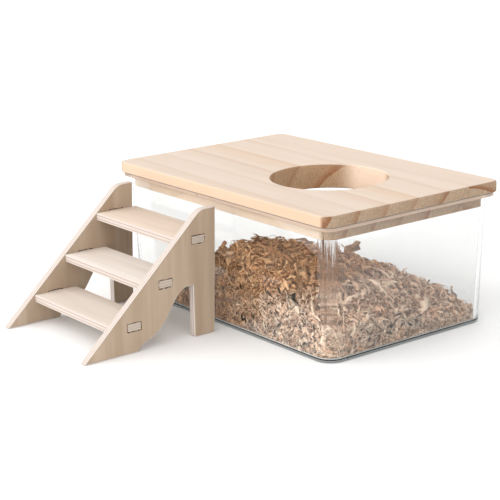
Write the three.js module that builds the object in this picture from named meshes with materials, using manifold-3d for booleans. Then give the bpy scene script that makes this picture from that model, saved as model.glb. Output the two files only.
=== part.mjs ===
// A small hamster cage: a clear moulded tank with a rim flange, a rebated pine lid with a round entry hole, a
// free-standing plywood ladder that is slotted together from five pieces, and a mound of wood shavings.
//
// Millimetres. The origin is the centre of the tank's underside, +X runs along the tank's long side, +Z is up,
// and the ladder stands on the -Y side and climbs towards +Y.

import * as THREE from 'three';
import { mergeVertices } from 'three/addons/utils/BufferGeometryUtils.js';
import Module from 'manifold-3d';

const wasm = await Module();
wasm.setup();

// ---- Driving dimensions -------------------------------------------------------------------------------------

const RIM_TOP = 89.8;              // height of the tank's rim
const SEAT_GAP = 0.2;              // air between faces that rest on each other
const FIT_GAP = 0.3;               // air around a joint that is pushed together

const LID_LENGTH = 229;
const LID_WIDTH = 152.5;
const LID_BOARD = 7.3;             // thickness of the part of the lid that overhangs the rim
const LID_PLUG_DEPTH = 9.8;        // how far the rebated part reaches into the tank
const LID_PLUG_INSET = 6.8;        // width of the rebate
const LID_PLUG_CORNER = 8.4;
const LID_CORNER = 7.6;
const LID_TOP_EASE = 1.4;          // rounding of the lid's upper edge
const LID_EDGE_EASE = 0.5;         // rounding of its other edges
const STAVE_JOINT_Y = 46;          // glue line between the lid's two staves
const GLUE_LINE = 0.06;

const HOLE_RADIUS = 40;
const HOLE_X = 29;
const HOLE_EASE = 0.7;

const FLANGE_INSET = 1;            // from the lid's edge to the flange's edge
const FLANGE_THICKNESS = 2.6;
const FLANGE_CORNER = 8.4;
const WALL = 2;
const WALL_INSET_TOP = 4.4;        // from the lid's edge to the wall's outer face, at the rim
const WALL_INSET_BASE = 6.1;       // the same at the base: the walls draw in slightly
const TANK_CORNER_TOP = 9.6;
const TANK_CORNER_BASE = 11.6;
const CAVITY_CORNER_TOP = 7.9;     // rounder than a wall of even thickness needs, so the corners are thicker
const CAVITY_CORNER_BASE = 11;
const FLANGE_EASE = 0.5;
const FLOOR = 2;                   // thickness of the tank's floor
const BASE_EDGE_RADIUS = 1.2;
const FLOOR_FILLET = 1;

const PLY = 5;                     // thickness of the ladder's plywood
const LADDER_WIDTH = 102.8;
const LADDER_CENTRE_X = -44.7;
const LADDER_REAR_Y = -82.6;
const PANEL_HEIGHT = 86;
const PANEL_TOE = 102.6;           // forward reach of the toe from the foot of the rear edge
const PANEL_SHOULDER = 9.2;        // where the slope would meet the top edge
const SHOULDER_RADIUS = 11;
const REAR_LEAN = 3;               // how far the rear edge leans back over the panel's height
const PANEL_HEEL = 61;             // where the front foot ends and the arch begins
const LEG_WIDTH = 16.4;
const ARCH_TOP = 35.9;
const HEEL_CURVE = { x: 59.2, y: 4.48 };   // pulls the heel's short rise into a curve
const HEEL_RISE = { x: 52, y: 6.4 };       // where the arch's S-curve turns to its long slope
const INSTEP = { x: 33.4, y: 25.2 };       // where it turns from the long slope to the round top
const HEEL_PULL = { x: 9, y: 3 };          // how far the curve keeps its direction at each of the two
const INSTEP_PULL = { x: 5, y: 7.5 };
const ARCH_RUN = 15;               // from the instep to the arch's level top
const CORNER_EASE = 1.2;           // rounding of a panel's sharp corners

const TREAD_DEPTH = 32.6;
const TREADS = [                   // top face's height, and front edge's reach from the rear edge's foot
  { name: 'lower', top: 19.7, front: 80.1 },
  { name: 'middle', top: 43.6, front: 54.6 },
  { name: 'upper', top: 68.6, front: 27.8 },
];
const TENON_WIDTH = 10;
const TENON_CENTRE = 16.3;         // behind the tread's front edge
const SLOT_HEADROOM = 0.5;         // air over a tenon

const BEDDING_BASE = 3;            // depth of the thin layer around the mound, above the tank's floor
const MOUND_RISE = 54;
const MOUND_X = 18;                // the mound's peak
const MOUND_Y = -56;
const MOUND_LEFT = 43;             // spread of the mound along -X, +X and Y
const MOUND_RIGHT = 59;
const MOUND_BACK = 75.5;
const MOUND_POWER = 2.1;           // 2 is a bell, and more has a flatter top and steeper sides

// ---- Materials ----------------------------------------------------------------------------------------------

const pine = () => new THREE.MeshStandardMaterial({ color: 0xecd4bc, roughness: 0.6, metalness: 0 });
const plywood = () => new THREE.MeshStandardMaterial({ color: 0xe2d0ba, roughness: 0.65, metalness: 0 });
const shavings = () => new THREE.MeshStandardMaterial({ color: 0xb8936c, roughness: 0.95, metalness: 0 });
const clearPlastic = () => new THREE.MeshStandardMaterial({
  color: 0xe9f0f0,
  roughness: 0.08,
  metalness: 0,
  transparent: true,
  opacity: 0.3,
});

// ---- Geometry helpers ---------------------------------------------------------------------------------------

const CORNER_STEPS = 6;

// Points of a rounded rectangle at height z, anticlockwise as seen from above.
function roundedRectangle(halfX, halfY, radius, z) {
  const points = [];
  for (let corner = 0; corner < 4; corner += 1) {
    const signX = corner === 0 || corner === 3 ? 1 : -1;
    const signY = corner < 2 ? 1 : -1;
    for (let step = 0; step <= CORNER_STEPS; step += 1) {
      const angle = (corner + step / CORNER_STEPS) * (Math.PI / 2);
      const x = signX * (halfX - radius) + radius * Math.cos(angle);
      const y = signY * (halfY - radius) + radius * Math.sin(angle);
      points.push(new THREE.Vector3(x, y, z));
    }
  }
  return points;
}

// A skin over a list of rings with equal point counts, closed at both ends by a fan to the ring's middle.
function loft(rings) {
  const count = rings[0].length;
  const vertices = rings.flat();
  const index = [];
  for (let ring = 0; ring + 1 < rings.length; ring += 1) {
    for (let i = 0; i < count; i += 1) {
      const a = ring * count + i;
      const b = ring * count + ((i + 1) % count);
      index.push(a, b, b + count, a, b + count, a + count);
    }
  }
  const caps = [{ start: 0, flip: true }, { start: (rings.length - 1) * count, flip: false }];
  for (const { start, flip } of caps) {
    const middle = new THREE.Vector3();
    for (let i = 0; i < count; i += 1) middle.addScaledVector(vertices[start + i], 1 / count);
    vertices.push(middle);
    for (let i = 0; i < count; i += 1) {
      const a = start + i;
      const b = start + ((i + 1) % count);
      index.push(vertices.length - 1, flip ? b : a, flip ? a : b);
    }
  }
  const geometry = new THREE.BufferGeometry().setFromPoints(vertices);
  geometry.setIndex(index);
  return geometry;
}

// Offsets of a quarter round between a horizontal and a vertical face: { across, along } from 0 to radius.
function quarterRound(radius, steps) {
  const points = [];
  for (let step = 0; step <= steps; step += 1) {
    const angle = (step / steps) * (Math.PI / 2);
    points.push({ across: radius * (1 - Math.sin(angle)), along: radius * (1 - Math.cos(angle)) });
  }
  return points;
}

function toManifold(geometry) {
  const bare = geometry.clone();
  bare.deleteAttribute('normal');
  bare.deleteAttribute('uv');
  const merged = mergeVertices(bare, 1e-4);
  return new wasm.Manifold(new wasm.Mesh({
    numProp: 3,
    vertProperties: new Float32Array(merged.attributes.position.array),
    triVerts: new Uint32Array(merged.index.array),
  }));
}

function toGeometry(manifold) {
  const { vertProperties, triVerts } = manifold.getMesh();
  const geometry = new THREE.BufferGeometry();
  geometry.setAttribute('position', new THREE.BufferAttribute(new Float32Array(vertProperties), 3));
  geometry.setIndex(new THREE.BufferAttribute(new Uint32Array(triVerts), 1));
  return geometry;
}

function piece(name, geometry, material) {
  geometry.computeVertexNormals();
  const mesh = new THREE.Mesh(geometry, material);
  mesh.name = name;
  return mesh;
}

// ---- Tank ---------------------------------------------------------------------------------------------------

const HALF_X = LID_LENGTH / 2;
const HALF_Y = LID_WIDTH / 2;

// A ring of the tank's wall at height z, offset inwards from the wall's outer face.
function wallRing(z, inward) {
  const rise = z / RIM_TOP;
  const inset = THREE.MathUtils.lerp(WALL_INSET_BASE, WALL_INSET_TOP, rise) + inward;
  const corner = THREE.MathUtils.lerp(TANK_CORNER_BASE, TANK_CORNER_TOP, rise) - inward;
  return roundedRectangle(HALF_X - inset, HALF_Y - inset, corner, z);
}

// A ring of the cavity at height z, offset inwards from the wall's inner face.
function cavityRing(z, inward) {
  const rise = z / RIM_TOP;
  const inset = THREE.MathUtils.lerp(WALL_INSET_BASE, WALL_INSET_TOP, rise) + WALL + inward;
  const corner = THREE.MathUtils.lerp(CAVITY_CORNER_BASE, CAVITY_CORNER_TOP, rise) - inward;
  return roundedRectangle(HALF_X - inset, HALF_Y - inset, corner, z);
}

function flangeRing(z, inward) {
  const inset = FLANGE_INSET + inward;
  return roundedRectangle(HALF_X - inset, HALF_Y - inset, FLANGE_CORNER - inward, z);
}

function tank() {
  const flangeBottom = RIM_TOP - FLANGE_THICKNESS;
  const throat = 0.6;                // the wall flares by this much where it runs into the flange
  const rings = [];
  for (const { across, along } of quarterRound(BASE_EDGE_RADIUS, 4)) rings.push(wallRing(along, across));
  rings.push(wallRing(flangeBottom - 2 * throat, 0));
  rings.push(wallRing(flangeBottom, -throat));
  rings.push(flangeRing(flangeBottom, FLANGE_EASE));
  rings.push(flangeRing(flangeBottom + FLANGE_EASE, 0));
  rings.push(flangeRing(RIM_TOP - FLANGE_EASE, 0));
  rings.push(flangeRing(RIM_TOP, FLANGE_EASE));
  rings.push(cavityRing(RIM_TOP, -FLANGE_EASE));
  rings.push(cavityRing(RIM_TOP - FLANGE_EASE, 0));
  for (const { across, along } of quarterRound(FLOOR_FILLET, 3).reverse()) {
    rings.push(cavityRing(FLOOR + along, across));
  }
  return piece('tank', loft(rings), clearPlastic());
}

// ---- Lid ----------------------------------------------------------------------------------------------------

const LID_UNDERSIDE = RIM_TOP + SEAT_GAP;
const LID_TOP = LID_UNDERSIDE + LID_BOARD;
const PLUG_BOTTOM = LID_UNDERSIDE - LID_PLUG_DEPTH;

function lidRing(z, inward) {
  return roundedRectangle(HALF_X - inward, HALF_Y - inward, LID_CORNER - Math.min(inward, LID_TOP_EASE), z);
}

function plugRing(z, inward) {
  const inset = LID_PLUG_INSET + inward;
  return roundedRectangle(HALF_X - inset, HALF_Y - inset, LID_PLUG_CORNER - inward, z);
}

// The whole lid as one thick board: the plug below, the overhanging board above, with eased edges.
function lidBlank() {
  const rings = [];
  rings.push(plugRing(PLUG_BOTTOM, LID_EDGE_EASE));
  rings.push(plugRing(PLUG_BOTTOM + LID_EDGE_EASE, 0));
  rings.push(plugRing(LID_UNDERSIDE, 0));
  rings.push(lidRing(LID_UNDERSIDE, LID_EDGE_EASE));
  rings.push(lidRing(LID_UNDERSIDE + LID_EDGE_EASE, 0));
  for (const { across, along } of quarterRound(LID_TOP_EASE, 3).reverse()) {
    rings.push(lidRing(LID_TOP - along, across));
  }
  return toManifold(loft(rings));
}

// The cutter for the entry hole flares at both faces of the lid, which eases the hole's edges.
function entryHoleCutter() {
  const beyond = 2;
  const flare = HOLE_RADIUS + HOLE_EASE + beyond;
  const profile = [
    new THREE.Vector2(0, PLUG_BOTTOM - beyond),
    new THREE.Vector2(flare, PLUG_BOTTOM - beyond),
    new THREE.Vector2(HOLE_RADIUS, PLUG_BOTTOM + HOLE_EASE),
    new THREE.Vector2(HOLE_RADIUS, LID_TOP - HOLE_EASE),
    new THREE.Vector2(flare, LID_TOP + beyond),
    new THREE.Vector2(0, LID_TOP + beyond),
  ];
  const geometry = new THREE.LatheGeometry(profile, 72);
  geometry.rotateX(Math.PI / 2);
  geometry.translate(HOLE_X, 0, 0);
  return toManifold(geometry);
}

// A block that covers the lid from one y to another, for cutting a stave out of the lid.
function staveBlock(fromY, toY) {
  const margin = 5;
  const height = LID_TOP - PLUG_BOTTOM + 2 * margin;
  const geometry = new THREE.BoxGeometry(LID_LENGTH + 2 * margin, toY - fromY, height);
  geometry.translate(0, (fromY + toY) / 2, (LID_TOP + PLUG_BOTTOM) / 2);
  return toManifold(geometry);
}

function lid() {
  const group = new THREE.Group();
  const board = lidBlank().subtract(entryHoleCutter());
  const beyond = HALF_Y + 5;
  const wide = board.intersect(staveBlock(-beyond, STAVE_JOINT_Y - GLUE_LINE / 2));
  const narrow = board.intersect(staveBlock(STAVE_JOINT_Y + GLUE_LINE / 2, beyond));
  group.add(piece('lid_stave_wide', toGeometry(wide), pine()));
  group.add(piece('lid_stave_narrow', toGeometry(narrow), pine()));
  return group;
}

// ---- Ladder -------------------------------------------------------------------------------------------------

// A rectangular slot through a panel for one tread's tenon, with clearance all round.
function tenonSlot({ top, front }) {
  const centre = front - TENON_CENTRE;
  const halfWidth = TENON_WIDTH / 2 + FIT_GAP;
  const slot = new THREE.Path();
  slot.moveTo(centre - halfWidth, top - PLY - FIT_GAP);
  slot.lineTo(centre + halfWidth, top - PLY - FIT_GAP);
  slot.lineTo(centre + halfWidth, top + SLOT_HEADROOM);
  slot.lineTo(centre - halfWidth, top + SLOT_HEADROOM);
  slot.closePath();
  return slot;
}

// Side panel outline: x is the reach forward of the rear edge and y is the height. From the toe it runs back
// along the foot, up an S-shaped arch, down and round the rear leg, up the rear edge and down the sloped front.
function panelShape() {
  const slope = Math.atan2(PANEL_HEIGHT, PANEL_TOE - PANEL_SHOULDER);
  const tangent = SHOULDER_RADIUS * Math.tan(slope / 2);
  const slopeX = Math.cos(slope);
  const slopeY = Math.sin(slope);

  const shape = new THREE.Shape();
  shape.moveTo(PANEL_TOE - CORNER_EASE * slopeX, CORNER_EASE * slopeY);
  shape.quadraticCurveTo(PANEL_TOE, 0, PANEL_TOE - 2 * CORNER_EASE, 0);
  shape.lineTo(PANEL_HEEL, 0);
  shape.quadraticCurveTo(HEEL_CURVE.x, HEEL_CURVE.y, HEEL_RISE.x, HEEL_RISE.y);
  shape.bezierCurveTo(
    HEEL_RISE.x - HEEL_PULL.x,
    HEEL_RISE.y + HEEL_PULL.y,
    INSTEP.x + INSTEP_PULL.x,
    INSTEP.y - INSTEP_PULL.y,
    INSTEP.x,
    INSTEP.y,
  );
  shape.bezierCurveTo(
    INSTEP.x - INSTEP_PULL.x,
    INSTEP.y + INSTEP_PULL.y,
    INSTEP.x - ARCH_RUN / 2,
    ARCH_TOP,
    INSTEP.x - ARCH_RUN,
    ARCH_TOP,
  );
  shape.lineTo(LEG_WIDTH + CORNER_EASE, ARCH_TOP);
  shape.quadraticCurveTo(LEG_WIDTH, ARCH_TOP, LEG_WIDTH, ARCH_TOP - CORNER_EASE);
  shape.lineTo(LEG_WIDTH, CORNER_EASE);
  shape.quadraticCurveTo(LEG_WIDTH, 0, LEG_WIDTH - CORNER_EASE, 0);
  shape.lineTo(CORNER_EASE, 0);
  shape.quadraticCurveTo(0, 0, 0, CORNER_EASE);
  shape.lineTo(-REAR_LEAN, PANEL_HEIGHT);
  shape.absarc(
    PANEL_SHOULDER - tangent,
    PANEL_HEIGHT - SHOULDER_RADIUS,
    SHOULDER_RADIUS,
    Math.PI / 2,
    Math.PI / 2 - slope,
    true,
  );
  shape.closePath();
  for (const tread of TREADS) shape.holes.push(tenonSlot(tread));
  return shape;
}

function sidePanel(name, outerX, side) {
  const geometry = new THREE.ExtrudeGeometry(panelShape(), { depth: PLY, bevelEnabled: false, curveSegments: 8 });
  const back = new THREE.Vector3(0, -1, 0);
  const up = new THREE.Vector3(0, 0, 1);
  const left = new THREE.Vector3(-1, 0, 0);
  geometry.applyMatrix4(new THREE.Matrix4().makeBasis(back, up, left));
  geometry.translate(side > 0 ? outerX : outerX + PLY, LADDER_REAR_Y, 0);
  return piece(name, geometry, plywood());
}

// A tread: a board between the panels with one tenon at each end, flush with the panels' outer faces.
function tread({ name, top, front }) {
  const halfTenonReach = LADDER_WIDTH / 2;
  const halfBoard = LADDER_WIDTH / 2 - PLY - SEAT_GAP;
  const frontY = -front;
  const tenonFront = frontY + TENON_CENTRE - TENON_WIDTH / 2;
  const tenonBack = tenonFront + TENON_WIDTH;
  const shape = new THREE.Shape();
  shape.moveTo(-halfBoard, frontY);
  shape.lineTo(halfBoard, frontY);
  shape.lineTo(halfBoard, tenonFront);
  shape.lineTo(halfTenonReach, tenonFront);
  shape.lineTo(halfTenonReach, tenonBack);
  shape.lineTo(halfBoard, tenonBack);
  shape.lineTo(halfBoard, frontY + TREAD_DEPTH);
  shape.lineTo(-halfBoard, frontY + TREAD_DEPTH);
  shape.lineTo(-halfBoard, tenonBack);
  shape.lineTo(-halfTenonReach, tenonBack);
  shape.lineTo(-halfTenonReach, tenonFront);
  shape.lineTo(-halfBoard, tenonFront);
  shape.closePath();
  const geometry = new THREE.ExtrudeGeometry(shape, { depth: PLY, bevelEnabled: false });
  geometry.translate(LADDER_CENTRE_X, LADDER_REAR_Y, top - PLY);
  return piece(`ladder_tread_${name}`, geometry, plywood());
}

function ladder() {
  const group = new THREE.Group();
  group.add(sidePanel('ladder_side_left', LADDER_CENTRE_X - LADDER_WIDTH / 2, -1));
  group.add(sidePanel('ladder_side_right', LADDER_CENTRE_X + LADDER_WIDTH / 2, 1));
  for (const entry of TREADS) group.add(tread(entry));
  return group;
}

// ---- Bedding ------------------------------------------------------------------------------------------------

// Height of the bedding's upper surface: a thin layer with one lopsided mound against the tank's -Y wall.
function beddingHeight(x, y) {
  const across = (x - MOUND_X) / (x < MOUND_X ? MOUND_LEFT : MOUND_RIGHT);
  const back = (y - MOUND_Y) / MOUND_BACK;
  const reach = Math.hypot(across, back);
  return FLOOR + BEDDING_BASE + MOUND_RISE * Math.exp(-0.5 * reach ** MOUND_POWER);
}

function bedding() {
  const underside = FLOOR + FLOOR_FILLET;
  const outline = cavityRing(underside, FIT_GAP);
  const ringCount = 9;
  const ringAt = (scale, heightOf) => outline.map(({ x, y }) => {
    const point = new THREE.Vector3(x * scale, y * scale, 0);
    point.z = heightOf(point.x, point.y);
    return point;
  });
  const rings = [ringAt(1, () => underside)];
  for (let ring = ringCount; ring > 0; ring -= 1) rings.push(ringAt(ring / ringCount, beddingHeight));
  return piece('bedding', loft(rings), shavings());
}

// ---- Assembly -----------------------------------------------------------------------------------------------

const cage = new THREE.Group();
cage.add(tank());
cage.add(bedding());
cage.add(lid());
cage.add(ladder());

export default cage;
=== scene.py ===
import math

import bmesh
import bpy
import numpy as np
from mathutils import Euler, Matrix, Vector
from mathutils.geometry import tessellate_polygon


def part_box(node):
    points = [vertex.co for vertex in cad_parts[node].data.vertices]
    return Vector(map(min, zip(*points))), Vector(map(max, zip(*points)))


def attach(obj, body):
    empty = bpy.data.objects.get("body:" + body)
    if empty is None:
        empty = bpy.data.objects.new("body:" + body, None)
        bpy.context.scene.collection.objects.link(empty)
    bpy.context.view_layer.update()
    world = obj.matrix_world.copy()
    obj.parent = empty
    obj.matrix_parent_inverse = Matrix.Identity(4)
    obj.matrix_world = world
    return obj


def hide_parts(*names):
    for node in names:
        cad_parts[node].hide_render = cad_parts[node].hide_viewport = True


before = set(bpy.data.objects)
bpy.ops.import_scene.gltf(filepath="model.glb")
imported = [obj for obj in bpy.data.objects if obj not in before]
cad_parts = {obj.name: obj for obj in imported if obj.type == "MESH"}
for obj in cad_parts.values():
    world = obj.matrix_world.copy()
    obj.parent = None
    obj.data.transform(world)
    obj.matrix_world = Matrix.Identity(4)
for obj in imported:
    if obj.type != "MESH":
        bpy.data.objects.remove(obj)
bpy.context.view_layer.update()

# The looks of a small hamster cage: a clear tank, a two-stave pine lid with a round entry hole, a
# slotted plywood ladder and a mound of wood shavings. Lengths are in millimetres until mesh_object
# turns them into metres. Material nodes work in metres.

MM = 0.001

# ---- Dimensions, as the CAD has them ----


def box_mm(node):
    """A CAD node's lowest and highest corner in millimetres."""
    low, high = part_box(node)
    return np.array(low) / MM, np.array(high) / MM


LID_LOW, LID_HIGH = box_mm("lid_stave_wide")
NARROW_LOW, NARROW_HIGH = box_mm("lid_stave_narrow")
_, TANK_HIGH = box_mm("tank")
LEFT_LOW, LEFT_HIGH = box_mm("ladder_side_left")
RIGHT_LOW, RIGHT_HIGH = box_mm("ladder_side_right")

# The lid. An inset is measured in from the lid's outer edge.
HALF_X = LID_HIGH[0]
HALF_Y = NARROW_HIGH[1]
LID_TOP = LID_HIGH[2]
PLUG_BOTTOM = LID_LOW[2]
RIM_TOP = TANK_HIGH[2]
LID_UNDERSIDE = RIM_TOP + 0.2
PLUG_INSET = 6.8
PLUG_CORNER = 8.4
LID_CORNER = 7.6
LID_TOP_EASE = 1.4
LID_EDGE_EASE = 0.5
JOINT_CORNER = 0.12
HOLE_RADIUS = 40
HOLE_X = 29
HOLE_EASE = 0.7

# The tank. Its walls lean out a little from the base to the rim.
FLANGE_INSET = HALF_X - TANK_HIGH[0]
FLANGE_THICKNESS = 2.6
FLANGE_CORNER = 8.4
FLANGE_EASE = 0.5
FLANGE_BOTTOM = RIM_TOP - FLANGE_THICKNESS
# Where the wall swells into the flange: how far below it, and how far out.
FLANGE_ROOT = ((0.3, 0.2), (0, 0.7))
WALL = 2
WALL_INSET_TOP = 4.4
WALL_INSET_BASE = 6.1
TANK_CORNER_TOP = 9.6
TANK_CORNER_BASE = 11.6
CAVITY_CORNER_TOP = 7.9
CAVITY_CORNER_BASE = 11
CAVITY_EASE = 0.5
FLOOR = 2
BASE_EDGE_RADIUS = 1.2
FLOOR_FILLET = 1
# The heights of the rows of points on the walls' outer and inner faces.
OUTER_ROWS = np.linspace(8, FLANGE_BOTTOM - 1, 5)
INNER_ROWS = np.linspace(FLANGE_BOTTOM, 6, 5)

# The ladder. Reach is measured forward from its rear edge.
PLY = LEFT_HIGH[0] - LEFT_LOW[0]
LADDER_REAR_Y = -82.6
PANEL_HEIGHT = RIGHT_HIGH[2]
PANEL_TOE = 102.6
PANEL_SHOULDER = 9.2
SHOULDER_RADIUS = 11
REAR_LEAN = 3
PANEL_HEEL = 61
LEG_WIDTH = 16.4
ARCH_TOP = 35.9
ARCH_RUN = 15
HEEL_CURVE = np.array([59.2, 4.48])
HEEL_RISE = np.array([52, 6.4])
HEEL_PULL = np.array([-9, 3])
INSTEP = np.array([33.4, 25.2])
INSTEP_PULL = np.array([-5, 7.5])
CORNER_EASE = 1.2
PANEL_EASE = 0.45
TREAD_EASE = 0.35
TREAD_GAP = 0.2
TENON_WIDTH = 10
TENON_GAP = 0.3
SLOT_HEADROOM = 0.5
SLOT_CORNER = 0.5
SCORCH_REACH = 0.75
SMALLEST_TURN = 0.35
TREAD_NAMES = ("lower", "middle", "upper")
# The edges of a tread's outline that are the tips of its tenons.
TENON_TIPS = (3, 9)

# The bedding's mound: a hump that falls off at its own rate to the left, to the right and back.
BEDDING_BASE = 3
MOUND_RISE = 54
MOUND_X = 18
MOUND_Y = -56
MOUND_LEFT = 43
MOUND_RIGHT = 59
MOUND_BACK = 75.5
MOUND_POWER = 2.1

# ---- Colours ----

PINE_TOP_EARLY = (0.605, 0.495, 0.41)
PINE_TOP_LATE = (0.44, 0.285, 0.175)
PINE_TOP_WARM = (0.59, 0.44, 0.32)
PINE_SIDE_EARLY = (0.665, 0.475, 0.345)
PINE_SIDE_LATE = (0.58, 0.35, 0.21)
# Painted light: long grain made lighter on the plug and on the hole's wall, which lie in shade
# under the lid's overhang and in the hole.
PINE_SIDE_PAINTED_LIGHT = (0.84, 0.66, 0.52)
PINE_END_EARLY = (0.365, 0.262, 0.176)
PINE_END_LATE = (0.235, 0.1, 0.042)
# These four multiply the wood's colour. The first two are painted light: they brighten the end
# grain of the plug and of the hole's wall, which lie in shade. The last two are streaks and clouds
# in the grain.
PINE_PLUG_END_PAINTED_LIGHT = (1.47, 1.38, 1.27)
PINE_HOLE_END_PAINTED_LIGHT = (1.2, 1.09, 0.97)
PINE_STREAK = (0.95, 0.925, 0.89)
PINE_CLOUD = (0.96, 0.94, 0.92)

# A stave's growth rings: the pith line's Y and Z, its slant along X, the radius of ring number 0,
# a ring's width and the noise's seed. The weights of each ring are how dark its latewood is on
# long grain and on end grain, and how warm the whole ring is.
WIDE_STAVE = {
    "pith": (109.0, 15.0), "slant": 0.052, "first_ring": 130.2, "ring_width": 20.6, "seed": 4.0,
    "weights": (
        (0.15, 0.4, 0.0), (0.15, 0.5, 0.0), (0.22, 0.8, 0.0), (0.62, 0.42, 0.5),
        (0.42, 0.5, 0.1), (0.22, 0.65, 0.0), (0.22, 1.0, 0.1), (0.2, 0.9, 0.1),
    ),
}
NARROW_STAVE = {
    "pith": (38.0, 20.0), "slant": 0.02, "first_ring": 91.5, "ring_width": 15.0, "seed": 9.0,
    "weights": (
        (0.2, 0.5, 0.0), (0.2, 0.95, 0.0), (0.12, 0.95, 0.0), (0.12, 0.6, 0.0), (0.1, 0.5, 0.0),
    ),
}
# The number of a stave's rings that lie inside ring number 0.
RINGS_INSIDE = 3

PLY_FACE = (0.45, 0.35, 0.262)
PLY_TREADS = {
    "lower": (0.655, 0.583, 0.52),
    "middle": (0.7, 0.635, 0.585),
    "upper": (0.65, 0.54, 0.455),
}
PLY_EDGE = (0.61, 0.55, 0.51)
PLY_GLUE = (0.38, 0.235, 0.16)
PLY_TENON = (0.52, 0.455, 0.39)
PLY_STREAK = (0.84, 0.79, 0.73)
SCORCH = (0.12, 0.06, 0.03)

PLASTIC_CLEAR = (0.946, 0.954, 0.952)
# Painted reflection: the grey the plastic turns at a slant, for the dark surroundings it would
# mirror.
PLASTIC_PAINTED_DARK_REFLECTION = (0.33, 0.35, 0.36)
PLASTIC_SHADOW = (0.95, 0.96, 0.955)
PLASTIC_EDGE_SHADOW = (0.9, 0.9, 0.9)
# The tank's edges whose colour holds painted light and shade: the name, the colour and how much
# light goes through.
TANK_EDGES = (
    # Painted shade: the dark line along the base, where the shaded floor under the tank shows.
    ("plastic_base_edge_painted_shade", (0.34, 0.36, 0.36), 0.45),
    # Painted highlight: the pale line of the floor's fillet just above the base.
    ("plastic_fillet_painted_highlight", (0.93, 0.94, 0.93), 0.15),
    # Painted shadow: the grey line on the flange's top, in the lid's contact shadow.
    ("plastic_flange_rim_painted_shadow", (0.26, 0.275, 0.29), 0.3),
    # Painted reflection: the lid's wood seen, brighter, in the flange's side.
    ("plastic_flange_side_painted_reflection", (0.7, 0.53, 0.415), 0.45),
)
# The tank's material slots: the clear plastic, then TANK_EDGES.
CLEAR, BASE_EDGE, FILLET, FLANGE_RIM, FLANGE_SIDE = range(5)

# Each a dark and a light colour. The pinkish pair is a painted reflection: the golden shavings
# under the plastic's whitish veil.
SHAVING_GOLDEN = ((0.5, 0.235, 0.105), (0.83, 0.505, 0.285))
SHAVING_PINKISH_PAINTED_VEIL = ((0.74, 0.44, 0.29), (0.98, 0.765, 0.59))
# The dark colour is both a chip's dark tone and the painted shade between chips.
LITTER_DARK_AND_SHADE = (0.52, 0.32, 0.2)
LITTER_LIGHT = (0.82, 0.59, 0.41)

# ---- Camera, light and floor ----

# The camera's azimuth, elevation and roll in degrees, its place in metres and its lens.
CAMERA_ANGLES = (52.27, 15.38, -1.19)
CAMERA_PLACE = (0.76243, -0.63612, 0.31379)
CAMERA_LENS = 106.01
CAMERA_SENSOR = 36
CAMERA_FARTHEST = 50

SKY = 1.08
LAMP_COLOUR = (1.0, 0.975, 0.94)
# Each soft lamp: its name, strength, the direction it comes from and its spread in degrees.
LAMPS = (
    ("key", 1.55, (-0.36, -0.76, 0.54), 70),
    ("fill", 1.0, (0.58, -0.74, 0.34), 80),
)

FLOOR_SHADE = 0.86
# The floor's half width and its gap below the object, in metres.
FLOOR_HALF = 9.0
FLOOR_DROP = 0.0002


def add_object(name, data):
    obj = bpy.data.objects.new(name, data)
    bpy.context.scene.collection.objects.link(obj)
    return obj


def make_camera():
    azimuth, elevation, roll = (math.radians(angle) for angle in CAMERA_ANGLES)
    turned = Euler((math.pi / 2 - elevation, 0, azimuth)).to_matrix().to_4x4()
    rolled = turned @ Matrix.Rotation(roll, 4, "Z")
    camera = add_object("camera", bpy.data.cameras.new("camera"))
    camera.data.sensor_width = CAMERA_SENSOR
    camera.data.lens = CAMERA_LENS
    camera.data.clip_end = CAMERA_FARTHEST
    camera.matrix_world = Matrix.Translation(CAMERA_PLACE) @ rolled
    bpy.context.scene.camera = camera


def make_light():
    world = bpy.data.worlds.new("studio")
    world.use_nodes = True
    background = world.node_tree.nodes["Background"]
    background.inputs["Color"].default_value = (1, 1, 1, 1)
    background.inputs["Strength"].default_value = SKY
    bpy.context.scene.world = world
    for name, strength, source, spread in LAMPS:
        sun = bpy.data.lights.new(name, "SUN")
        sun.energy = strength
        sun.angle = math.radians(spread)
        sun.color = LAMP_COLOUR
        away = np.array(source) / np.linalg.norm(source)
        side = np.cross((0, 0, 1), away)
        side /= np.linalg.norm(side)
        toward = Matrix.Identity(3)
        toward.col[0], toward.col[1], toward.col[2] = side, np.cross(away, side), away
        add_object(name, sun).matrix_world = toward.to_4x4()
    bpy.context.scene.view_settings.view_transform = "Standard"


def make_floor():
    half = FLOOR_HALF
    mesh = bpy.data.meshes.new("floor")
    corners = [(-half, -half, 0), (half, -half, 0), (half, half, 0), (-half, half, 0)]
    mesh.from_pydata(corners, [], [(0, 1, 2, 3)])
    g = Graph("floor")
    mesh.materials.append(g.finish((FLOOR_SHADE,) * 3, roughness=0.9, specular=0.1))
    floor = add_object("floor", mesh)
    floor.location.z = -FLOOR_DROP


# ---- Material nodes ----


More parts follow.
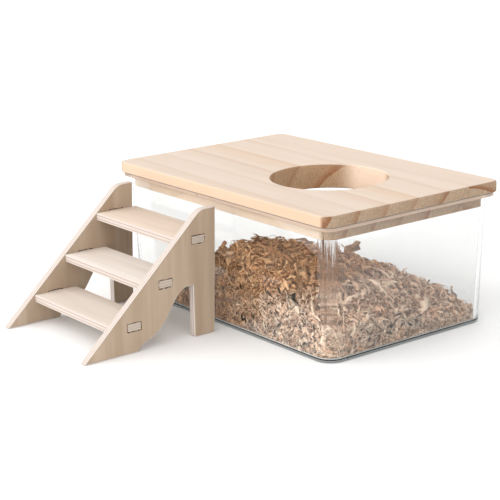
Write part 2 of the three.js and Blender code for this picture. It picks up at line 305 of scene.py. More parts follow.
class Graph:
    """Short calls that build a material's nodes. A value is a number, a tuple or an output."""

    def __init__(self, name):
        self.material = bpy.data.materials.new(name)
        self.material.use_nodes = True
        self.nodes = self.material.node_tree.nodes
        self.links = self.material.node_tree.links
        self.nodes.clear()
        self.shader = self.node("BsdfPrincipled")
        self.output = self.node("OutputMaterial", self.shader.outputs[0])
        coords = self.node("TexCoord")
        self.place, self.normal = coords.outputs["Object"], coords.outputs["Normal"]

    def put(self, socket, value):
        if isinstance(value, bpy.types.NodeSocket):
            self.links.new(value, socket)
        elif socket.type == "RGBA":
            socket.default_value = (*value, 1)
        else:
            socket.default_value = value

    def node(self, kind, *values, **named):
        """A new node. values go to its first sockets, and named ones to sockets by name."""
        node = self.nodes.new("ShaderNode" + kind)
        for key, value in (*enumerate(values), *named.items()):
            self.put(node.inputs[key], value)
        return node

    def math(self, operation, a, b=0.0):
        node = self.node("Math", a, b)
        node.operation = operation
        return node.outputs[0]

    def add(self, a, b):
        return self.math("ADD", a, b)

    def times(self, a, b):
        return self.math("MULTIPLY", a, b)

    def less(self, a, b):
        return self.math("SUBTRACT", a, b)

    def size(self, value):
        return self.math("ABSOLUTE", value)

    def length(self, a, b):
        return self.math("SQRT", self.add(self.times(a, a), self.times(b, b)))

    def step(self, value, low, high, most=None):
        """0 below low and most, or else 1, above high. Smooth between. low may be the higher."""
        node = self.node("MapRange", value, low, high)
        node.interpolation_type = "SMOOTHSTEP"
        return node.outputs[0] if most is None else self.times(node.outputs[0], most)

    def mix(self, factor, a, b, blend="MIX"):
        # Inputs 6 and 7 and output 2 are the ones for colours.
        node = self.node("Mix", factor)
        node.data_type = "RGBA"
        node.blend_type = blend
        self.put(node.inputs[6], a)
        self.put(node.inputs[7], b)
        return node.outputs[2]

    def multiply(self, colour, by):
        return self.mix(1.0, colour, by, "MULTIPLY")

    def mottle(self, colour, pattern, darkest, span):
        """A colour whose brightness follows a pattern from 0 to 1."""
        brightness = self.add(darkest, self.times(pattern, span))
        gray = self.node("CombineColor", brightness, brightness, brightness)
        return self.multiply(colour, gray.outputs[0])

    def split(self, vector):
        return tuple(self.node("SeparateXYZ", vector).outputs)

    def stretch(self, scale, shift=(0, 0, 0)):
        return self.node("Mapping", Vector=self.place, Scale=scale, Location=shift).outputs[0]

    def noise(self, scale, detail=2.0, roughness=0.5, shift=(0, 0, 0)):
        """Noise from 0 to 1. scale is its waves to the metre, one number or one for each axis."""
        vector = self.place
        if isinstance(scale, tuple):
            vector, scale = self.stretch(scale, shift), 1.0
        node = self.node("TexNoise", Vector=vector, Scale=scale, Detail=detail, Roughness=roughness)
        return node.outputs[0]

    def cells(self, stretch, scale):
        node = self.node("TexVoronoi", Vector=self.stretch(stretch), Scale=scale)
        return node.outputs["Distance"], node.outputs["Color"]

    def table(self, index, rows):
        """The three numbers of the row that the whole number index picks."""
        middle = self.math("DIVIDE", self.add(index, 0.5), float(len(rows)))
        node = self.node("ValToRGB", middle)
        node.color_ramp.interpolation = "CONSTANT"
        stops = node.color_ramp.elements
        while len(stops) < len(rows):
            stops.new(1.0)
        for i, row in enumerate(rows):
            stops[i].position = i / len(rows)
            stops[i].color = (*row, 1)
        return tuple(self.node("SeparateColor", node.outputs[0]).outputs)

    def facing(self):
        """0 where the surface faces the viewer, 1 where it is seen along the surface."""
        return self.node("LayerWeight", Blend=0.5).outputs["Facing"]

    def attribute(self, name):
        node = self.node("Attribute")
        node.attribute_name = name
        return node.outputs["Fac"]

    def bump(self, height, distance, strength=1.0):
        """Roughens the surface. distance is in metres."""
        node = self.node("Bump", Strength=strength, Distance=distance, Height=height)
        self.put(self.shader.inputs["Normal"], node.outputs[0])

    def glass(self, colour, roughness, transmission, shadow):
        """Clear plastic. Light from lamps and sky goes straight through, tinted by shadow."""
        self.put(self.shader.inputs["Roughness"], roughness)
        self.put(self.shader.inputs["Base Color"], colour)
        self.shader.inputs["Transmission Weight"].default_value = transmission
        self.shader.inputs["IOR"].default_value = 1.49
        in_shadow = self.node("LightPath").outputs["Is Shadow Ray"]
        clear = self.node("BsdfTransparent", shadow)
        mixed = self.node("MixShader", in_shadow, self.shader.outputs[0], clear.outputs[0])
        self.put(self.output.inputs["Surface"], mixed.outputs[0])
        return self.material

    def finish(self, colour, roughness, specular):
        self.put(self.shader.inputs["Base Color"], colour)
        self.put(self.shader.inputs["Roughness"], roughness)
        self.shader.inputs["Specular IOR Level"].default_value = specular
        return self.material


# ---- Wood ----

# Where a stave's zones start and where they are full: in millimetres outside the hole, and as
# the normal's share along Y and along X.
HOLE_FADE = (1.5, 0.5)
SIDE_FADE = (0.45, 0.92)
END_FADE = (0.06, 0.45)
PLUG_FADE = 0.2
# How much more of the hole's wall shows long grain.
HOLE_END_DELAY = 0.24

# The plies' joints as shares of the thickness, and the half width of a glue line.
PLY_JOINTS = (0.27, 0.73)
JOINT_FADE = 0.04
GLUE_LINE = 0.075


def stave_zones(g):
    """Masks from 0 to 1 for the long-grain sides, the end grain, the hole's wall and the plug. The
    last two also mark where light is painted into the colour, on wood that lies in shade.
    """
    x, y, z = g.split(g.place)
    normal_x, normal_y, _ = g.split(g.normal)
    side = g.step(g.size(normal_y), *SIDE_FADE)
    from_hole = g.length(g.less(x, HOLE_X * MM), y)
    in_hole = g.step(from_hole, *((HOLE_RADIUS + beyond) * MM for beyond in HOLE_FADE))
    end = g.step(g.less(g.size(normal_x), g.times(in_hole, HOLE_END_DELAY)), *END_FADE)
    in_plug = g.step(z, (LID_UNDERSIDE + PLUG_FADE) * MM, (LID_UNDERSIDE - PLUG_FADE) * MM)
    return side, end, in_hole, in_plug


def growth_rings(g, pith, slant, first_ring, ring_width, seed):
    """A place's ring number, how far across the ring it lies and how dark the latewood is."""
    x, y, z = g.split(g.place)
    wander = g.less(g.noise((5, 16, 16), detail=1, shift=(seed, 0, 0)), 0.5)
    waver = g.less(g.noise((9, 90, 90), detail=2, shift=(0, seed, 0)), 0.5)
    across = g.add(g.less(y, pith[0] * MM), g.times(x, slant))
    across = g.add(across, g.times(wander, 0.006))
    above = g.less(z, pith[1] * MM)
    radius = g.add(g.length(across, above), g.times(waver, 0.0016))
    ring = g.math("DIVIDE", g.less(radius, first_ring * MM), ring_width * MM)
    part = g.math("FRACT", ring)
    # A sharp dark line at the ring's start and a soft one over the rest of it.
    soft, sharp = g.step(part, 0.85, 0.05, most=0.40), g.step(part, 0.26, 0.05, most=0.60)
    late = g.times(g.add(soft, sharp), g.step(part, 0.0, 0.04))
    return g.math("FLOOR", ring), part, late


def pine(name, weights, seed, **rings):
    """Sawn pine. The rings run round one pith line, so faces, ends and the hole's wall agree.

    The fibres run along X, so the patterns on long grain are drawn out along it."""
    g = Graph(name)
    side, end, in_hole, in_plug = stave_zones(g)
    number, part, late = growth_rings(g, seed=seed, **rings)
    on_face, on_end, warm = g.table(g.add(number, RINGS_INSIDE), weights)

    fibre = g.noise((22, 900, 900), detail=3, roughness=0.6)
    streak = g.noise((7, 150, 150), detail=2, shift=(seed, seed, 0))
    cloud = g.noise((10, 26, 26), detail=2, shift=(0, 0, seed))
    speckle = g.noise(1000, detail=4, roughness=0.8)
    _, pore = g.cells((60, 1100, 1100), 1.0)

    top = g.mix(g.times(late, on_face), PINE_TOP_EARLY, PINE_TOP_LATE)
    top = g.mix(g.times(warm, g.step(part, 1.0, 0.3)), top, PINE_TOP_WARM)
    edge = g.mix(g.times(late, 0.35), PINE_SIDE_EARLY, PINE_SIDE_LATE)
    # Painted light: the shaded long grain of the plug and of the hole's wall gets a lighter colour.
    edge = g.mix(g.math("MAXIMUM", in_plug, in_hole), edge, PINE_SIDE_PAINTED_LIGHT)
    grain = g.mix(side, top, edge)
    streaked = g.step(streak, 0.40, 0.75, most=0.7)
    grain = g.mix(streaked, grain, g.multiply(grain, PINE_STREAK))
    clouded = g.step(cloud, 0.45, 0.75, most=0.6)
    grain = g.mix(clouded, grain, g.multiply(grain, PINE_CLOUD))
    grain = g.mix(0.35, grain, g.mottle(grain, fibre, darkest=0.84, span=0.32))
    grain = g.mix(g.step(g.split(pore)[0], 0.93, 0.99, most=0.16), grain, PINE_TOP_LATE)

    ends = g.mix(g.times(late, on_end), PINE_END_EARLY, PINE_END_LATE)
    # Painted light: the end grain of the plug and of the hole's wall, both in shade, made brighter.
    lit = g.mix(in_hole, g.mix(in_plug, (1.0, 1.0, 1.0), PINE_PLUG_END_PAINTED_LIGHT), PINE_HOLE_END_PAINTED_LIGHT)
    ends = g.mottle(g.multiply(ends, lit), speckle, darkest=0.10, span=1.75)

    height = g.add(g.times(fibre, 0.5), g.times(g.times(end, speckle), 1.6))
    g.bump(height, 0.00018, 0.7)
    roughness = g.add(0.46, g.add(g.times(fibre, 0.14), g.times(end, 0.2)))
    return g.finish(g.mix(end, grain, ends), roughness, specular=0.35)


def drawn_out(grain, across, along):
    """Noise scales for fibres along one axis, 0 to 2."""
    scale = [across] * 3
    scale[grain] = along
    return tuple(scale)


def shaded(colour, factors):
    return tuple(channel * factor for channel, factor in zip(colour, factors))


def plywood_face(name, base, grain, seed, contrast=0.85):
    """Rotary-cut veneer with soft streaks. grain is the axis that the fibres run along, 0 to 2."""
    g = Graph(name)
    fine, broad, wide = ((700.0, 16.0), (95.0, 5.0), (30.0, 2.5))
    fibre = g.noise(drawn_out(grain, *fine), detail=3, roughness=0.6, shift=(seed, 0, 0))
    streak = g.noise(drawn_out(grain, *broad), detail=3, roughness=0.55, shift=(0, seed, 0))
    cloud = g.noise(drawn_out(grain, *wide), detail=1, shift=(0, 0, seed))
    dark = shaded(base, PLY_STREAK)
    light = tuple(min(channel * 1.07, 0.9) for channel in base)
    colour = g.mix(g.step(streak, 0.35, 0.72, most=contrast), light, dark)
    colour = g.mix(g.step(cloud, 0.40, 0.65, most=0.35 * contrast), colour, dark)
    colour = g.mix(scorched(g), g.mottle(colour, fibre, darkest=0.90, span=0.20), SCORCH)
    g.bump(fibre, 0.00012, 0.6)
    return g.finish(colour, g.add(0.55, g.times(fibre, 0.15)), specular=0.3)


def plywood_edge(name, axis, low, grain, base=PLY_EDGE, lines_weight=0.9):
    """The cut edge of three plies that lie across the given axis, from low millimetres on."""
    g = Graph(name)
    depth = g.math("DIVIDE", g.less(g.split(g.place)[axis], low * MM), PLY * MM)
    fine = list(drawn_out(grain, 500.0, 60.0))
    fine[axis] = 1500.0
    fibre = g.noise(tuple(fine), detail=3, roughness=0.6)
    shake = g.times(g.less(g.noise((40, 40, 40), detail=1), 0.5), 0.05)
    depth = g.add(depth, shake)
    near, far = PLY_JOINTS
    core = g.times(g.step(depth, near, near + JOINT_FADE), g.step(depth, far, far - JOINT_FADE))
    lines = g.math("MAXIMUM", glue_line(g, depth, near), glue_line(g, depth, far))
    colour = g.mix(g.times(core, 0.30), base, shaded(base, (0.8, 0.8, 0.8)))
    colour = g.mix(g.times(lines, lines_weight), colour, PLY_GLUE)
    colour = g.mix(scorched(g), g.mottle(colour, fibre, darkest=0.88, span=0.24), SCORCH)
    g.bump(fibre, 0.0001, 0.6)
    return g.finish(colour, 0.62, specular=0.3)


def glue_line(g, depth, joint):
    """1 on a thin line along a joint, 0 elsewhere."""
    return g.step(g.size(g.less(depth, joint)), GLUE_LINE, GLUE_LINE * 0.3)


def scorched(g):
    """How burnt the wood is: strong along a laser cut's edge, and ragged where it fades out."""
    ragged = g.noise((420, 420, 420), detail=2)
    burn = g.times(g.attribute("scorch"), g.add(-1.5, g.times(ragged, 5.0)))
    return g.step(burn, 0.35, 0.95)


# ---- Plastic and bedding ----

# How far in from the lid's edges the flow lines in the near corner start, and are full.
FLOW_FADE = (13.5, 10.5)
# Where the plastic starts to darken as it is seen along its surface, and where it is darkest:
# a painted reflection of the dark surroundings that real plastic mirrors at its edges.
GRAZING = (0.48, 0.80)
# In metres: the X where golden shavings end at the floor, the heights between which that end
# moves on by the reach, and the fade round it to the pinkish colour, which is a painted
# reflection of the plastic's whitish veil.
GOLDEN_END = 0.018
GOLDEN_RISE = (0.026, 0.046)
GOLDEN_REACH = 0.068
GOLDEN_FADE = (-0.008, 0.020)


def clear_plastic(name):
    """Clear moulded plastic. Upright flow lines in a corner pull what is behind into streaks."""
    g = Graph(name)
    x, y, _ = g.split(g.place)
    near_end = g.step(x, *((HALF_X - inset) * MM for inset in FLOW_FADE))
    near_side = g.step(y, *((inset - HALF_Y) * MM for inset in FLOW_FADE))
    flow = g.noise((520, 520, 4), detail=3, roughness=0.65)
    g.bump(g.times(flow, g.times(near_end, near_side)), 0.0009)
    smear = g.noise((18, 18, 30), detail=3, roughness=0.6)
    # Painted reflection: darker where the plastic is seen along its surface.
    colour = g.mix(g.step(g.facing(), *GRAZING), PLASTIC_CLEAR, PLASTIC_PAINTED_DARK_REFLECTION)
    return g.glass(colour, g.step(smear, 0.5, 0.8, most=0.02), 1.0, PLASTIC_SHADOW)


def painted_plastic_edge(name, colour, transmission):
    """The same plastic along an edge, with painted shade, a painted highlight or a painted
    reflection in its colour, one for each edge in TANK_EDGES.
    """
    g = Graph(name)
    grit = g.noise(300, detail=2)
    roughness = g.add(0.22, g.times(grit, 0.2))
    return g.glass(colour, roughness, transmission, PLASTIC_EDGE_SHADOW)


def shaving_material(name):
    """Dry wood shavings, each with its own tint. Golden towards -X; towards +X paler and pinker, a
    painted reflection of the plastic's whitish veil.
    """
    g = Graph(name)
    fibre = g.noise(1400, detail=2, roughness=0.6)
    patch = g.noise(45, detail=2)
    tint = g.add(g.times(g.attribute("tint"), 0.8), g.times(patch, 0.3))
    tone = g.step(tint, 0.05, 1.0)
    x, _, z = g.split(g.place)
    golden_end = g.add(GOLDEN_END, g.step(z, *GOLDEN_RISE, most=GOLDEN_REACH))
    beyond = g.add(g.less(x, golden_end), g.times(g.less(patch, 0.5), 0.06))
    # Painted reflection: beyond the golden end the colour turns to the pinkish pair, the plastic's
    # whitish veil.
    pale = g.step(beyond, *GOLDEN_FADE)
    colour = g.mix(pale, g.mix(tone, *SHAVING_GOLDEN), g.mix(tone, *SHAVING_PINKISH_PAINTED_VEIL))
    colour = g.mottle(colour, fibre, darkest=0.84, span=0.32)
    g.bump(fibre, 0.0001, 0.5)
    return g.finish(colour, 0.7, specular=0.15)


def litter_material(name):
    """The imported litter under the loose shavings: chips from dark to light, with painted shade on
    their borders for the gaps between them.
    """
    g = Graph(name)
    distance, chip = g.cells((1, 1, 1.3), 420)
    colour = g.mix(g.split(chip)[0], LITTER_DARK_AND_SHADE, LITTER_LIGHT)
    # Painted shade: darker towards each chip's border, for the gaps between chips.
    colour = g.mix(g.step(distance, 0.30, 0.75), colour, LITTER_DARK_AND_SHADE)
    g.bump(g.less(1.0, distance), 0.0012)
    return g.finish(colour, 0.85, specular=0.1)


# ---- Mesh helpers ----


def mesh_object(name, points, faces, materials, slots=None, sharp=None, values=None):
    """An object from points in millimetres, with sharp edges from an angle of sharp degrees on.

    slots gives each face's material, and values one number for each point."""
    mesh = bpy.data.meshes.new(name)
    mesh.from_pydata((np.asarray(points, float) * MM).tolist(), [], faces)
    for material in materials:
        mesh.materials.append(material)
    if slots is not None:
        mesh.polygons.foreach_set("material_index", np.asarray(slots, np.int32))
    mesh.polygons.foreach_set("use_smooth", np.ones(len(mesh.polygons), bool))
    for key, numbers in (values or {}).items():
        layer = mesh.attributes.new(key, "FLOAT", "POINT")
        layer.data.foreach_set("value", np.asarray(numbers, np.float32))
    mesh.update()
    if sharp:
        mesh.set_sharp_from_angle(angle=math.radians(sharp))
    return add_object(name, mesh)


def steady_normals(obj):
    """Keeps big flat faces flat next to small rounded edges."""
    weighted = obj.modifiers.new("weighted", "WEIGHTED_NORMAL")
    weighted.keep_sharp = True
    weighted.weight = 80


def quarter(radius, steps):
    """Offsets of a quarter round: (across, along) from (radius, 0) to (0, radius)."""
    angles = np.linspace(0, math.pi / 2, steps + 1)
    return [(radius * (1 - math.sin(angle)), radius * (1 - math.cos(angle))) for angle in angles]


def round_corner(x, y, radius, turn, steps):
    """Points round a rectangle's corner. turn counts corners anticlockwise from the +X +Y one."""
    sign_x = 1 if turn in (0, 3) else -1
    sign_y = 1 if turn in (0, 1) else -1
    angles = [(turn + step / steps) * math.pi / 2 for step in range(steps + 1)]
    x, y = x - sign_x * radius, y - sign_y * radius
    return [(x + radius * math.cos(angle), y + radius * math.sin(angle)) for angle in angles]


def ring(low, high, radii, z, edge_steps, corner_steps=14):
    """A rounded rectangle at height z, anticlockwise from its +X +Y corner, as are the radii.

    edge_steps divide the sides along X and along Y."""
    corners = ((high[0], high[1]), (low[0], high[1]), (low[0], low[1]), (high[0], low[1]))
    directions = ((-1, 0), (0, -1), (1, 0), (0, 1))
    points = []
    for turn, (corner_x, corner_y) in enumerate(corners):
        points += round_corner(corner_x, corner_y, radii[turn], turn, corner_steps)
        start = points[-1]
        following = (turn + 1) % 4
        stop_x, stop_y = (
            end - way * radii[following] for end, way in zip(corners[following], directions[turn])
        )
        count = edge_steps[turn % 2]
        points += [
            (start[0] + (stop_x - start[0]) * share, start[1] + (stop_y - start[1]) * share)
            for share in (step / count for step in range(1, count))
        ]
    flat = np.array(points)
    return np.column_stack([flat, np.full(len(flat), z)])


def skin(rings, closed=False):
    """Quads between rings of equal length. closed also joins the last ring to the first."""
    count = len(rings[0])
    faces = []
    for level in range(len(rings) - (not closed)):
        lower, upper = level * count, ((level + 1) % len(rings)) * count
        for i in range(count):
            j = (i + 1) % count
            faces.append((lower + i, lower + j, upper + j, upper + i))
    return np.concatenate(rings), faces


def capped(rings):
    """A skin with a flat face at each end."""
    points, faces = skin(rings)
    count = len(rings[0])
    ends = [tuple(reversed(range(count))), tuple(range(len(points) - count, len(points)))]
    return points, faces + ends


# ---- Tank ----


def between(base, top, z):
    """A measure at height z of a wall that goes from base at the floor to top at the rim."""
    return base + (top - base) * (z / RIM_TOP)


def inset_ring(inset, corner, z):
    half = np.array([HALF_X - inset, HALF_Y - inset])
    return ring(-half, half, (corner,) * 4, z, (6, 4))


def wall_ring(z, inward):
    inset = between(WALL_INSET_BASE, WALL_INSET_TOP, z)
    corner = between(TANK_CORNER_BASE, TANK_CORNER_TOP, z)
    return inset_ring(inset + inward, corner - inward, z)


def cavity_size(z):
    """The inset and the corner radius of the walls' inner faces at height z."""
    inset = between(WALL_INSET_BASE, WALL_INSET_TOP, z) + WALL
    return inset, between(CAVITY_CORNER_BASE, CAVITY_CORNER_TOP, z)


def cavity_ring(z, inward):
    inset, corner = cavity_size(z)
    return inset_ring(inset + inward, corner - inward, z)


def flange_ring(z, inward):
    return inset_ring(FLANGE_INSET + inward, FLANGE_CORNER - inward, z)


def make_tank(materials):
    """The tank: up the outside, over the flange and down the inside."""
    base, flange = quarter(BASE_EDGE_RADIUS, 8), quarter(FLANGE_EASE, 3)
    lip, fillet = quarter(CAVITY_EASE, 3), quarter(FLOOR_FILLET, 6)
    # Each ring, and the material that fills the band from it to the next ring.
    bands = [(wall_ring(along, across), BASE_EDGE) for across, along in base]
    bands += [(wall_ring(z, 0), CLEAR) for z in (FLOOR, *OUTER_ROWS)]
    bands += [(wall_ring(FLANGE_BOTTOM - below, -out), CLEAR) for below, out in FLANGE_ROOT]
    bands += [(flange_ring(FLANGE_BOTTOM + along, across), FLANGE_SIDE) for across, along in flange]
    bands += [(flange_ring(RIM_TOP - along, across), FLANGE_RIM) for across, along in flange[:0:-1]]
    bands += [(flange_ring(RIM_TOP, FLANGE_EASE), CLEAR)]
    bands += [(cavity_ring(RIM_TOP - along, -across), CLEAR) for across, along in lip]
    bands += [(cavity_ring(z, 0), CLEAR) for z in INNER_ROWS]
    bands += [(cavity_ring(FLOOR + along, across), FILLET) for across, along in fillet[::-1]]
    rings, kinds = zip(*bands)
    points, faces = capped(rings)
    # One material for each face: the bands, then the underside and the floor.
    slots = np.repeat(kinds[:-1], len(rings[0])).tolist() + [CLEAR, CLEAR]
    tank = mesh_object("tank_shell", points, faces, materials, slots, sharp=50)
    steady_normals(tank)
    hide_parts("tank")
    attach(tank, "tank")


# ---- Lid ----


def stave_rings(low_y, high_y, joint_low, joint_high, steps):
    """Rings from the plug's underside to the lid's top. A joint side is straight, not rebated."""

    def outline(inset, corner, z):
        low = np.array([-HALF_X + inset, low_y + (0 if joint_low else inset)])
        high = np.array([HALF_X - inset, high_y - (0 if joint_high else inset)])
        at_high = JOINT_CORNER if joint_high else corner
        at_low = JOINT_CORNER if joint_low else corner
        return ring(low, high, (at_high, at_high, at_low, at_low), z, steps, 10)

    ease = quarter(LID_EDGE_EASE, 3)
    levels = [(PLUG_INSET + a, PLUG_CORNER - a, PLUG_BOTTOM + b) for a, b in ease]
    levels += [(PLUG_INSET, PLUG_CORNER, LID_UNDERSIDE)]
    levels += [(a, LID_CORNER - a, LID_UNDERSIDE + b) for a, b in ease]
    levels += [(a, LID_CORNER - a, LID_TOP - b) for a, b in quarter(LID_TOP_EASE, 6)[::-1]]
    return [outline(*level) for level in levels]


def hole_rings(outline):
    """Rings down the entry hole's wall, with a point on the ray to each point of the outline."""
    angles = np.arctan2(outline[:, 1], outline[:, 0] - HOLE_X)

    def circle(ease, z):
        radius = HOLE_RADIUS + ease
        x, y = HOLE_X + radius * np.cos(angles), radius * np.sin(angles)
        return np.column_stack([x, y, np.full(len(angles), z)])

    eases = quarter(HOLE_EASE, 4)
    rings = [circle(across, LID_TOP - along) for across, along in eases]
    return rings + [circle(across, PLUG_BOTTOM + along) for across, along in reversed(eases)]


def make_lid(wide_material, narrow_material):
    rings = stave_rings(-HALF_Y, LID_HIGH[1], False, True, (64, 44))
    rings += hole_rings(rings[-1])
    points, faces = skin(rings, closed=True)
    wide = mesh_object("lid_board_wide", points, faces, [wide_material], sharp=50)
    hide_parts("lid_stave_wide")
    points, faces = capped(stave_rings(NARROW_LOW[1], HALF_Y, True, False, (8, 4)))
    narrow = mesh_object("lid_board_narrow", points, faces, [narrow_material], sharp=50)
    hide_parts("lid_stave_narrow")
    for stave in (wide, narrow):
        steady_normals(stave)
        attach(stave, "lid")


# ---- Ladder ----


def curve(points, steps):
    """Points of a Bezier curve after its start."""
    shares = np.linspace(0, 1, steps + 1)[1:, None]
    degree = len(points) - 1
    return sum(
        math.comb(degree, k) * (1 - shares) ** (degree - k) * shares ** k * np.array(point, float)
        for k, point in enumerate(points)
    ).tolist()


def eased(before, corner, after, steps=4):
    """A point and the curve from it round a corner."""
    return [list(before)] + curve((before, corner, after), steps)


def panel_outline():
    """The side panel, as reach forward of its rear edge and height, clockwise from the toe."""
    slope = math.atan2(PANEL_HEIGHT, PANEL_TOE - PANEL_SHOULDER)
    tangent = SHOULDER_RADIUS * math.tan(slope / 2)
    ease = CORNER_EASE
    toe = (PANEL_TOE - ease * math.cos(slope), ease * math.sin(slope))
    arch_front = (INSTEP[0] - ARCH_RUN, ARCH_TOP)
    arch_bend = (INSTEP[0] - ARCH_RUN / 2, ARCH_TOP)
    points = eased(toe, (PANEL_TOE, 0), (PANEL_TOE - 2 * ease, 0))
    points += eased((PANEL_HEEL, 0), HEEL_CURVE, HEEL_RISE, 10)
    points += curve((HEEL_RISE, HEEL_RISE + HEEL_PULL, INSTEP - INSTEP_PULL, INSTEP), 14)
    points += curve((INSTEP, INSTEP + INSTEP_PULL, arch_bend, arch_front), 14)
    leg = LEG_WIDTH
    points += eased((leg + ease, ARCH_TOP), (leg, ARCH_TOP), (leg, ARCH_TOP - ease))
    points += eased((leg, ease), (leg, 0), (leg - ease, 0))
    points += eased((ease, 0), (0, 0), (0, ease))
    points.append([-REAR_LEAN, PANEL_HEIGHT])
    centre = np.array([PANEL_SHOULDER - tangent, PANEL_HEIGHT - SHOULDER_RADIUS])
    for angle in np.linspace(math.pi / 2, math.pi / 2 - slope, 15):
        direction = np.array([math.cos(angle), math.sin(angle)])
        points.append((centre + SHOULDER_RADIUS * direction).tolist())
    return np.array(points)


def offset(points, distance):
    """A closed outline moved inwards by a distance, for either winding."""
    after = np.roll(points, -1, 0)
    forward = after - points
    forward /= np.linalg.norm(forward, axis=1)[:, None]
    area = np.sum(points[:, 0] * after[:, 1] - after[:, 0] * points[:, 1])
    inward = np.column_stack([-forward[:, 1], forward[:, 0]]) * (1 if area > 0 else -1)
    middle = inward + np.roll(inward, 1, 0)
    middle /= np.maximum(np.sum(middle * inward, 1), SMALLEST_TURN)[:, None]
    return points + middle * distance


def slab(name, outline, holes, thickness, ease, to_frame, materials, wall_edges=()):
    """A board cut from an outline, with eased edges and scorched holes.

    to_frame turns (u, v, depth) into X, Y, Z. The materials are the face, the edge and a hole's
    wall. wall_edges are the outline's edges that get the hole's material too."""
    face, edge, hole_wall = range(3)
    rim = quarter(ease, 3)
    levels = rim + [(across, thickness - along) for across, along in reversed(rim)]
    points, faces, slots, scorch = [], [], [], []

    def level(flat, depth, burnt=0.0):
        """Adds a loop of points at one depth."""
        start = len(points)
        points.extend((u, v, depth) for u, v in flat)
        scorch.extend([burnt] * len(flat))
        return list(range(start, start + len(flat)))

    def wall(a, b, slot, wall_edges=()):
        """Adds the band between two loops."""
        for i in range(len(a)):
            j = (i + 1) % len(a)
            faces.append((a[i], a[j], b[j], b[i]))
            slots.append(hole_wall if i in wall_edges else slot)

    loops = [level(offset(outline, across), depth) for across, depth in levels]
    for a, b in zip(loops, loops[1:]):
        wall(a, b, edge, wall_edges)
    # Round each hole lies a rim of face, over which the scorching fades out.
    ends = (0, thickness)
    near, far = ([level(offset(hole, -SCORCH_REACH), end) for hole in holes] for end in ends)
    near_edge, far_edge = ([level(hole, end, 1.0) for hole in holes] for end in ends)
    for a, b, c, d in zip(near, near_edge, far_edge, far):
        wall(a, b, face)
        wall(b, c, hole_wall)
        wall(c, d, face)
    for loop, rims in ((loops[0], near), (loops[-1], far)):
        bounds = [loop] + rims
        order = [index for bound in bounds for index in bound]
        flat = [[(*points[index][:2], 0) for index in bound] for bound in bounds]
        for triangle in tessellate_polygon(flat):
            faces.append(tuple(order[k] for k in triangle))
            slots.append(face)
    placed = np.array([to_frame(*point) for point in points])
    obj = mesh_object(name, placed, faces, materials, slots, values={"scorch": scorch})
    even_out(obj)
    steady_normals(obj)
    return obj


def even_out(obj):
    """Turns all faces outwards and marks the sharp edges."""
    work = bmesh.new()
    work.from_mesh(obj.data)
    bmesh.ops.recalc_face_normals(work, faces=work.faces)
    work.to_mesh(obj.data)
    work.free()
    obj.data.set_sharp_from_angle(angle=math.radians(40))


def tenon_slot(name):
    """The slot in a panel for a tread's tenon, in the panel's reach and height."""
    low, high = box_mm(f"ladder_tread_{name}")
    middle = LADDER_REAR_Y - (low[1] + high[1]) / 2
    half = TENON_WIDTH / 2 + TENON_GAP
    bottom, top = low[2] - TENON_GAP, high[2] + SLOT_HEADROOM
    points = []
    corners = ((half, top), (-half, top), (-half, bottom), (half, bottom))
    for turn, (reach, height) in enumerate(corners):
        points += round_corner(middle + reach, height, SLOT_CORNER, turn, 3)
    return np.array(points)


def make_panel(side, low_x, materials):
    name = f"ladder_panel_{side}"
    holes = [tenon_slot(tread) for tread in TREAD_NAMES]

    def to_frame(reach, height, depth):
        return low_x + depth, LADDER_REAR_Y - reach, height

    panel = slab(name, panel_outline(), holes, PLY, PANEL_EASE, to_frame, materials)
    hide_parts(f"ladder_side_{side}")
    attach(panel, "ladder")


def make_tread(name, materials):
    low, high = box_mm(f"ladder_tread_{name}")
    inner = high[0] - PLY - TREAD_GAP
    outer = low[0] + PLY + TREAD_GAP
    middle = (low[1] + high[1]) / 2
    front_tenon, back_tenon = middle - TENON_WIDTH / 2, middle + TENON_WIDTH / 2
    outline = np.array([
        (outer, low[1]), (inner, low[1]),
        (inner, front_tenon), (high[0], front_tenon), (high[0], back_tenon), (inner, back_tenon),
        (inner, high[1]), (outer, high[1]),
        (outer, back_tenon), (low[0], back_tenon), (low[0], front_tenon), (outer, front_tenon),
    ])

    def to_frame(x, y, depth):
        return x, y, low[2] + depth

    tread = slab(
        f"ladder_step_{name}", outline, [], high[2] - low[2], TREAD_EASE, to_frame, materials,
        TENON_TIPS,
    )
    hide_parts(f"ladder_tread_{name}")
    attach(tread, "ladder")


def make_ladder():
    """Panels and treads. X is axis 0 and Z is axis 2, for the plies and for the grain."""
    slot = plywood_edge("ply_slot", 0, 0, 2)
    for seed, (side, low) in enumerate((("left", LEFT_LOW), ("right", RIGHT_LOW))):
        face = plywood_face(f"ply_panel_{side}", PLY_FACE, 2, 3.7 + seed * 11)
        edge = plywood_edge(f"ply_panel_edge_{side}", 0, low[0], 2)
        make_panel(side, low[0], [face, edge, slot])
    for seed, name in enumerate(TREAD_NAMES):
        low_z = box_mm(f"ladder_tread_{name}")[0][2]
        face = plywood_face(f"ply_tread_{name}", PLY_TREADS[name], 0, 8.1 + seed * 5, 0.45)
        edge = plywood_edge(f"ply_tread_edge_{name}", 2, low_z, 0)
        tenon = plywood_edge(f"ply_tenon_{name}", 2, low_z, 1, PLY_TENON, 0.5)
        make_tread(name, [face, edge, tenon])


# ---- Bedding ----

# Lumps on the loose layer's top and on the litter below it: their seed, size and height.
TOP_LUMPS = (5, 15, 2.6)
LITTER_LUMPS = (6, 6, 0.8)

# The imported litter, which spreads into a foot at the floor.
LITTER_HALF = np.array([103.2, 65.0])
LITTER_CORNER = 6.5
LITTER_RINGS = 40
LITTER_DEPTH = 5.2
LITTER_LOWEST = FLOOR + 1.2
FOOT_Z = FLOOR + 0.6
FOOT_SPREAD = 1.035
FOOT_MARGIN = 0.5
ANKLE_Z = FLOOR + 3.5

SEGMENTS = 9
SIDES = 3
